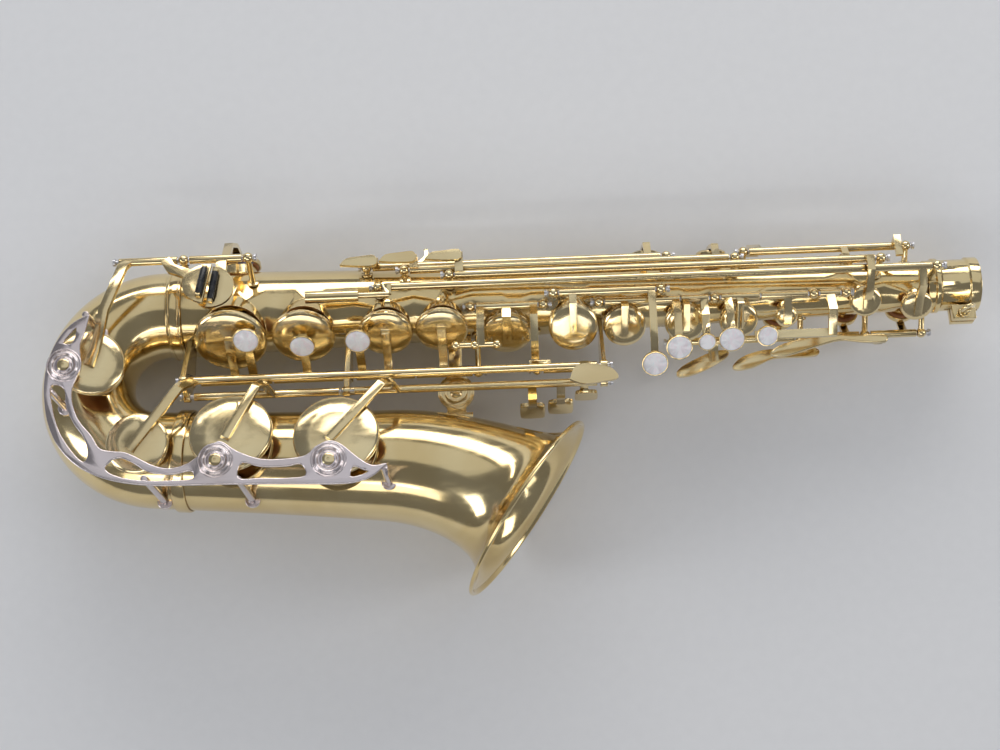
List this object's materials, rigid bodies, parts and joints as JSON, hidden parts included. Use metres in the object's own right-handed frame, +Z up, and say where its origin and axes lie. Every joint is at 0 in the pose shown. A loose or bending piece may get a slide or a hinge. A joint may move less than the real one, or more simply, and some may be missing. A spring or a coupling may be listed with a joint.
{
  "type": "saxophone body",
  "caption": "Body of an alto saxophone without its neck: tapered brass tube, bow and flared bell with hinged, padded keys, finger pearls and a wire key guard.",
  "frame": {"origin": "on the floor under the middle of the body as it lies on its left side", "axes": "+X along the body tube toward the neck socket, +Y toward the back of the instrument, +Z up"},
  "size_m": [0.5654, 0.2164, 0.1182],
  "materials": {
    "lacquered_brass": "polished, clear gold lacquer",
    "steel": "ground rod and blued needle wire",
    "pad_leather": "tan kid leather over felt",
    "pearl": "pale iridescent pearl",
    "black_plastic": "black, polished",
    "felt": "brown felt"
  },
  "bodies": {
    "horn": {"body_tube": "lacquered_brass", "bow": "lacquered_brass", "bell": "lacquered_brass", "ferrules": "lacquered_brass", "neck_receiver": "lacquered_brass", "bell_brace": "lacquered_brass", "key_guard": "lacquered_brass", "guard_bumpers": "felt", "posts": "lacquered_brass", "hinge_rods": "steel", "springs": "steel", "thumb_hook": "lacquered_brass", "thumb_rest": "black_plastic", "strap_ring": "lacquered_brass"},
    "neck_screw": {"neck_screw": "lacquered_brass"},
    "low_bb_key": {"low_bb_key": "lacquered_brass", "low_bb_pad": "pad_leather"},
    "low_b_key": {"low_b_key": "lacquered_brass", "low_b_pad": "pad_leather"},
    "low_cs_key": {"low_cs_key": "lacquered_brass"},
    "low_c_key": {"low_c_key": "lacquered_brass", "low_c_pad": "pad_leather"},
    "eb_key": {"eb_key": "lacquered_brass"},
    "d_key": {"d_key": "lacquered_brass", "d_pad": "pad_leather", "d_pearl": "pearl"},
    "e_key": {"e_key": "lacquered_brass", "e_pad": "pad_leather", "e_pearl": "pearl"},
    "f_key": {"f_key": "lacquered_brass", "f_pad": "pad_leather", "f_pearl": "pearl"},
    "fs_key": {"fs_key": "lacquered_brass", "fs_pad": "pad_leather"},
    "gs_key": {"gs_key": "lacquered_brass"},
    "gs_lever": {"gs_lever": "lacquered_brass"},
    "g_key": {"g_key": "lacquered_brass", "g_pad": "pad_leather", "g_pearl": "pearl"},
    "a_key": {"a_key": "lacquered_brass", "a_pad": "pad_leather", "a_pearl": "pearl"},
    "bis_key": {"bis_key": "lacquered_brass", "bis_pearl": "pearl"},
    "b_key": {"b_key": "lacquered_brass", "b_pad": "pad_leather", "b_pearl": "pearl"},
    "c_key": {"c_key": "lacquered_brass"},
    "front_f_key": {"front_f_key": "lacquered_brass", "front_f_pearl": "pearl"},
    "side_bb_key": {"side_bb_key": "lacquered_brass"},
    "side_c_key": {"side_c_key": "lacquered_brass"},
    "high_e_key": {"high_e_key": "lacquered_brass"},
    "high_fs_key": {"high_fs_key": "lacquered_brass"},
    "palm_d_key": {"palm_d_key": "lacquered_brass"},
    "palm_eb_key": {"palm_eb_key": "lacquered_brass"},
    "palm_f_key": {"palm_f_key": "lacquered_brass"},
    "octave_key": {"octave_key": "lacquered_brass"},
    "low_c_roller": {"low_c_roller": "black_plastic"},
    "eb_roller": {"eb_roller": "black_plastic"}
  },
  "joints": [
    {"name": "low_bb_key_hinge", "type": "hinge", "parent": "horn", "child": "low_bb_key", "pos_m": [-0.02267, 0.01331, 0.06219], "axis": [1, 0, 0.0076], "range_deg": [0, 11], "stiffness_Nm_per_rad": 0.2, "springref_deg": -28.65},
    {"name": "low_b_key_hinge", "type": "hinge", "parent": "horn", "child": "low_b_key", "pos_m": [-0.07062, 0.01386, 0.05552], "axis": [1, 0, 0.0076], "range_deg": [0, 11], "stiffness_Nm_per_rad": 0.2, "springref_deg": -28.65},
    {"name": "low_cs_key_hinge", "type": "hinge", "parent": "horn", "child": "low_cs_key", "pos_m": [-0.0707, 0.02248, 0.06579], "axis": [-1, 0, -0.0076], "range_deg": [0, 10], "stiffness_Nm_per_rad": 0.2, "springref_deg": -28.65},
    {"name": "low_c_key_hinge", "type": "hinge", "parent": "horn", "child": "low_c_key", "pos_m": [-0.21269, 0.09428, 0.06399], "axis": [1, 0, 0.0076], "range_deg": [0, 8], "stiffness_Nm_per_rad": 0.2, "springref_deg": -28.65},
    {"name": "eb_key_hinge", "type": "hinge", "parent": "horn", "child": "eb_key", "pos_m": [-0.17269, 0.09428, 0.06429], "axis": [1, 0, 0.0076], "range_deg": [0, 9], "stiffness_Nm_per_rad": 0.1, "springref_deg": -28.65},
    {"name": "d_key_hinge", "type": "hinge", "parent": "horn", "child": "d_key", "pos_m": [-0.16553, 0.02343, 0.04325], "axis": [-1, 0, -0.0076], "range_deg": [0, 13], "stiffness_Nm_per_rad": 0.1, "springref_deg": -28.65},
    {"name": "e_key_hinge", "type": "hinge", "parent": "horn", "child": "e_key", "pos_m": [-0.12253, 0.02343, 0.04358], "axis": [-1, 0, -0.0076], "range_deg": [0, 13], "stiffness_Nm_per_rad": 0.1, "springref_deg": -28.65},
    {"name": "f_key_hinge", "type": "hinge", "parent": "horn", "child": "f_key", "pos_m": [-0.07653, 0.02343, 0.04393], "axis": [-1, 0, -0.0076], "range_deg": [0, 13], "stiffness_Nm_per_rad": 0.1, "springref_deg": -28.65},
    {"name": "fs_key_hinge", "type": "hinge", "parent": "horn", "child": "fs_key", "pos_m": [-0.04153, 0.02343, 0.0442], "axis": [-1, 0, -0.0076], "range_deg": [0, 13], "stiffness_Nm_per_rad": 0.1, "springref_deg": -28.65},
    {"name": "gs_key_hinge", "type": "hinge", "parent": "horn", "child": "gs_key", "pos_m": [-0.00462, 0.06115, 0.05602], "axis": [-1, 0, -0.0076], "range_deg": [0, 9], "stiffness_Nm_per_rad": 0.1, "springref_deg": -28.65},
    {"name": "gs_lever_hinge", "type": "hinge", "parent": "horn", "child": "gs_lever", "pos_m": [0.03346, 0.02343, 0.04477], "axis": [1, 0, 0.0076], "range_deg": [0, 9], "stiffness_Nm_per_rad": 0.1, "springref_deg": -28.65},
    {"name": "g_key_hinge", "type": "hinge", "parent": "horn", "child": "g_key", "pos_m": [0.05334, 0.06693, 0.06125], "axis": [1, 0, 0.0076], "range_deg": [0, 13], "stiffness_Nm_per_rad": 0.1, "springref_deg": -28.65},
    {"name": "a_key_hinge", "type": "hinge", "parent": "horn", "child": "a_key", "pos_m": [0.07737, 0.06115, 0.05665], "axis": [1, 0, 0.0076], "range_deg": [0, 13], "stiffness_Nm_per_rad": 0.1, "springref_deg": -28.65},
    {"name": "bis_key_hinge", "type": "hinge", "parent": "horn", "child": "bis_key", "pos_m": [0.10837, 0.06115, 0.05689], "axis": [1, 0, 0.0076], "range_deg": [0, 13], "stiffness_Nm_per_rad": 0.1, "springref_deg": -28.65},
    {"name": "b_key_hinge", "type": "hinge", "parent": "horn", "child": "b_key", "pos_m": [0.13537, 0.06115, 0.05709], "axis": [1, 0, 0.0076], "range_deg": [0, 13], "stiffness_Nm_per_rad": 0.1, "springref_deg": -28.65},
    {"name": "c_key_hinge", "type": "hinge", "parent": "horn", "child": "c_key", "pos_m": [0.16137, 0.06115, 0.05729], "axis": [1, 0, 0.0076], "range_deg": [0, 13], "stiffness_Nm_per_rad": 0.1, "springref_deg": -28.65},
    {"name": "front_f_key_hinge", "type": "hinge", "parent": "horn", "child": "front_f_key", "pos_m": [0.19237, 0.06115, 0.05753], "axis": [1, 0, 0.0076], "range_deg": [0, 6], "stiffness_Nm_per_rad": 0.1, "springref_deg": -28.65},
    {"name": "side_bb_key_hinge", "type": "hinge", "parent": "horn", "child": "side_bb_key", "pos_m": [0.00145, 0.08878, 0.04689], "axis": [1, 0, 0.0076], "range_deg": [0, 8], "stiffness_Nm_per_rad": 0.2, "springref_deg": -28.65},
    {"name": "side_c_key_hinge", "type": "hinge", "parent": "horn", "child": "side_c_key", "pos_m": [0.0314, 0.08519, 0.05363], "axis": [1, 0, 0.0076], "range_deg": [0, 8], "stiffness_Nm_per_rad": 0.2, "springref_deg": -28.65},
    {"name": "high_e_key_hinge", "type": "hinge", "parent": "horn", "child": "high_e_key", "pos_m": [0.09135, 0.0804, 0.05986], "axis": [-1, 0, -0.0076], "range_deg": [0, 8], "stiffness_Nm_per_rad": 0.2, "springref_deg": -28.65},
    {"name": "high_fs_key_hinge", "type": "hinge", "parent": "horn", "child": "high_fs_key", "pos_m": [0.09132, 0.07406, 0.06344], "axis": [-1, 0, -0.0076], "range_deg": [0, 8], "stiffness_Nm_per_rad": 0.2, "springref_deg": -28.65},
    {"name": "palm_d_key_hinge", "type": "hinge", "parent": "horn", "child": "palm_d_key", "pos_m": [0.13766, 0.03995, 0.02003], "axis": [-1, 0, -0.0076], "range_deg": [0, 7], "stiffness_Nm_per_rad": 0.1, "springref_deg": -28.65},
    {"name": "palm_eb_key_hinge", "type": "hinge", "parent": "horn", "child": "palm_eb_key", "pos_m": [0.19665, 0.03995, 0.02048], "axis": [-1, 0, -0.0076], "range_deg": [0, 7], "stiffness_Nm_per_rad": 0.1, "springref_deg": -28.65},
    {"name": "palm_f_key_hinge", "type": "hinge", "parent": "horn", "child": "palm_f_key", "pos_m": [0.23365, 0.03995, 0.02076], "axis": [-1, 0, -0.0076], "range_deg": [0, 7], "stiffness_Nm_per_rad": 0.1, "springref_deg": -28.65},
    {"name": "octave_key_hinge", "type": "hinge", "parent": "horn", "child": "octave_key", "pos_m": [0.16949, 0.09041, 0.04213], "axis": [-1, 0, -0.0076], "range_deg": [0, 6], "stiffness_Nm_per_rad": 0.1, "springref_deg": -28.65},
    {"name": "low_c_roller_spin", "type": "hinge", "parent": "low_c_key", "child": "low_c_roller", "pos_m": [-0.17895, 0.07941, 0.07697], "axis": [0.1592, 0.9193, -0.36], "continuous": true},
    {"name": "eb_roller_spin", "type": "hinge", "parent": "eb_key", "child": "eb_roller", "pos_m": [-0.17261, 0.07681, 0.07505], "axis": [0.1582, 0.9606, -0.2285], "continuous": true},
    {"name": "neck_screw_turn", "type": "hinge", "parent": "horn", "child": "neck_screw", "pos_m": [0.27254, 0.0475, 0.0357], "axis": [-0.0074, 0.2326, 0.9725], "range_deg": [-180, 180]}
  ],
  "couplings": [
    {"joint": "fs_key_hinge", "follows": "f_key_hinge", "ratio": 1},
    {"joint": "c_key_hinge", "follows": "b_key_hinge", "ratio": 1},
    {"joint": "gs_key_hinge", "follows": "gs_lever_hinge", "ratio": 1}
  ]
}
